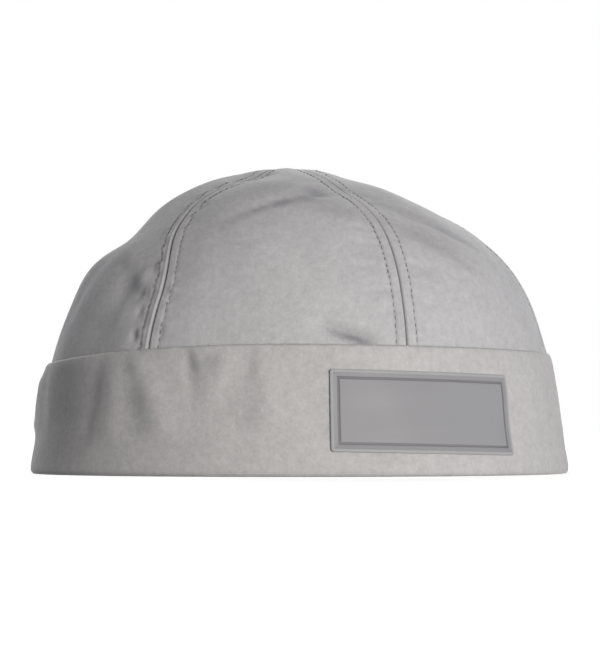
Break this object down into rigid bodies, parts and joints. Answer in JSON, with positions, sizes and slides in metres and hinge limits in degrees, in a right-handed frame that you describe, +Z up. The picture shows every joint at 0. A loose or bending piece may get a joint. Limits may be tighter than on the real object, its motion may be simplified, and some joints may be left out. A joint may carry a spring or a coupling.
{
  "type": "brimless rain hat",
  "caption": "Soft brimless rain hat with a panelled round crown, a turned-up cuff, a loose satin lining and a plain moulded label patch on the cuff.",
  "frame": {"origin": "middle of the rim, in the plane that the rim rests on", "axes": "+Z up to the top of the crown, -Y towards the front of the hat, +X to the right of someone looking at the front, which is the side the label patch is on"},
  "size_m": [0.1866, 0.2136, 0.1055],
  "materials": {
    "crown_fabric": "warm grey water-repellent twill, matt",
    "cuff_fabric": "warm grey water-repellent twill, matt, doubled",
    "lining_satin": "brown satin, soft sheen",
    "strip_satin": "pinkish brown satin, soft sheen",
    "label_rubber": "mid grey moulded silicone rubber, satin"
  },
  "bodies": {
    "root": {"crown_panel_front": "crown_fabric", "crown_panel_front_right": "crown_fabric", "crown_panel_back_right": "crown_fabric", "crown_panel_back": "crown_fabric", "crown_panel_back_left": "crown_fabric", "crown_panel_front_left": "crown_fabric", "cuff": "cuff_fabric", "lining": "lining_satin", "lining_strip": "strip_satin", "label_patch": "label_rubber"}
  },
  "joints": []
}
